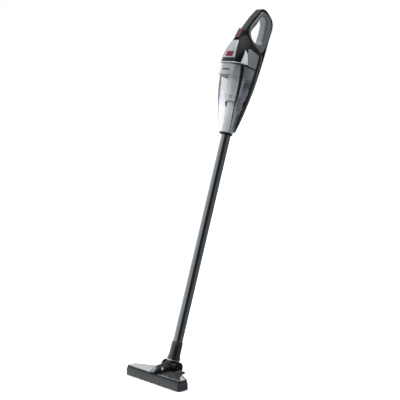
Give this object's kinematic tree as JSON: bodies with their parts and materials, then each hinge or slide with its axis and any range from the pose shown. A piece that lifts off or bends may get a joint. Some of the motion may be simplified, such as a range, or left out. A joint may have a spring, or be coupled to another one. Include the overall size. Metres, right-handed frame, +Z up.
{
  "type": "cordless stick vacuum",
  "caption": "Cordless stick vacuum with a clear dust cup, loop handle, black wand and a hinged floor head.",
  "frame": {"origin": "on the floor under the middle of the floor head's sole", "axes": "+Z up, -Y to the floor head's front, +X across the head; the wand leans back 18 degrees towards +Y"},
  "size_m": [0.242, 0.4878, 1.093],
  "materials": {
    "clear_plastic": "clear gloss",
    "smoke_plastic": "smoked gloss",
    "black_gloss": "high gloss",
    "black_matte": "fine grain",
    "wand_lacquer": "glossy lacquer",
    "bumper_grey": "satin",
    "silver_gloss": "metallic lacquer",
    "light_grey": "satin",
    "mid_grey": "satin",
    "red_plastic": "gloss",
    "rubber": "matte",
    "steel": "turned",
    "bristle": "nylon tufts",
    "velvet": "short pile",
    "filter_cloth": "pleated",
    "fan_plastic": "moulded",
    "battery_wrap": "shrink sleeve",
    "board": "solder mask"
  },
  "bodies": {
    "neck": {"neck_socket": "black_gloss"},
    "neck_latch": {"neck_latch": "black_matte"},
    "wand": {"wand_tube": "wand_lacquer"},
    "dust_cup": {"cup_front": "clear_plastic", "cup_rear": "smoke_plastic", "cup_spine": "black_gloss", "mouth_collar": "black_gloss", "inlet_sleeve": "light_grey", "inlet_duct": "light_grey", "flap_pin": "steel", "filter_frame": "light_grey", "filter_basket": "light_grey", "pleated_filter": "filter_cloth", "cup_seal": "rubber"},
    "flap": {"inlet_flap": "smoke_plastic"},
    "wand_button": {"wand_button": "light_grey"},
    "motor_body": {"shell_right": "black_gloss", "shell_left": "black_gloss", "front_panel": "silver_gloss", "side_panel_right": "mid_grey", "side_panel_left": "mid_grey", "side_wedge_right": "light_grey", "side_wedge_left": "light_grey", "handle_ring": "silver_gloss", "power_switch": "black_matte", "bulkhead": "black_matte", "trim_ring": "silver_gloss", "motor_can": "steel", "motor_mount": "black_matte", "battery_cells": "battery_wrap", "battery_holder": "black_matte", "circuit_board": "board", "exhaust_grille": "black_matte", "charging_socket": "board"},
    "cup_button": {"cup_button": "red_plastic"},
    "power_slider": {"power_slider": "red_plastic"},
    "rotor": {"fan": "fan_plastic", "motor_shaft": "steel"},
    "elbow": {"elbow": "black_gloss", "swivel_ring": "silver_gloss"},
    "floor_head": {"sole_plate": "black_matte", "lint_strips": "velvet", "sole_screws": "steel", "front_bumper": "bumper_grey", "head_cover": "black_gloss", "top_plate": "silver_gloss", "neck_bridge": "black_gloss", "bridge_inlay": "light_grey", "bridge_caps": "light_grey", "pivot_pins": "steel", "pivot_caps": "black_gloss", "pedal_pin": "steel", "wheel_axles": "steel"},
    "pedal": {"foot_pedal": "black_matte"},
    "brush": {"brush_carrier": "black_matte", "brush_bristles": "bristle"},
    "wheel_right": {"wheel_right": "rubber"},
    "wheel_left": {"wheel_left": "rubber"}
  },
  "joints": [
    {"name": "wand_pull", "type": "slide", "parent": "neck", "child": "wand", "axis": [0, 0.309, 0.9511], "range_m": [0, 0.05]},
    {"name": "neck_latch_press", "type": "slide", "parent": "neck", "child": "neck_latch", "axis": [0, -0.9511, 0.309], "range_m": [0, 0.0012], "stiffness_N_per_m": 800},
    {"name": "cup_pull", "type": "slide", "parent": "wand", "child": "dust_cup", "axis": [0, 0.309, 0.9511], "range_m": [0, 0.06]},
    {"name": "flap_swing", "type": "hinge", "parent": "dust_cup", "child": "flap", "pos_m": [0, 0.2937, 0.7835], "axis": [-1, 0, 0], "range_deg": [0, 36]},
    {"name": "wand_button_press", "type": "slide", "parent": "dust_cup", "child": "wand_button", "axis": [0, -0.9511, 0.309], "range_m": [0, 0.002], "stiffness_N_per_m": 800},
    {"name": "motor_body_lift", "type": "slide", "parent": "dust_cup", "child": "motor_body", "axis": [0, 0.309, 0.9511], "range_m": [0, 0.13]},
    {"name": "cup_button_press", "type": "slide", "parent": "motor_body", "child": "cup_button", "axis": [0, 0.9511, -0.309], "range_m": [0, 0.0025], "stiffness_N_per_m": 900},
    {"name": "power_slide", "type": "slide", "parent": "motor_body", "child": "power_slider", "axis": [0, -0.5664, -0.8241], "range_m": [0, 0.008]},
    {"name": "rotor_spin", "type": "hinge", "parent": "motor_body", "child": "rotor", "pos_m": [0, 0.30024, 0.92921], "axis": [0, 0.309, 0.9511], "continuous": true},
    {"name": "neck_swivel", "type": "hinge", "parent": "neck", "child": "elbow", "pos_m": [0, 0.03309, 0.04551], "axis": [0, 0.309, 0.9511], "range_deg": [-90, 90]},
    {"name": "head_pitch", "type": "hinge", "parent": "elbow", "child": "floor_head", "pos_m": [0, 0.03, 0.036], "axis": [1, 0, 0], "range_deg": [-18, 57]},
    {"name": "pedal_press", "type": "hinge", "parent": "floor_head", "child": "pedal", "pos_m": [0.05, 0.016, 0.027], "axis": [-1, 0, 0], "range_deg": [0, 10]},
    {"name": "brush_drop", "type": "slide", "parent": "floor_head", "child": "brush", "axis": [0, 0, -1], "range_m": [0, 0.0035]},
    {"name": "wheel_right_spin", "type": "hinge", "parent": "floor_head", "child": "wheel_right", "pos_m": [0.062, -0.001, 0.007], "axis": [1, 0, 0], "continuous": true},
    {"name": "wheel_left_spin", "type": "hinge", "parent": "floor_head", "child": "wheel_left", "pos_m": [-0.062, -0.001, 0.007], "axis": [1, 0, 0], "continuous": true}
  ],
  "couplings": [
    {"joint": "brush_drop", "follows": "pedal_press", "m_per_rad": 0.020054}
  ]
}
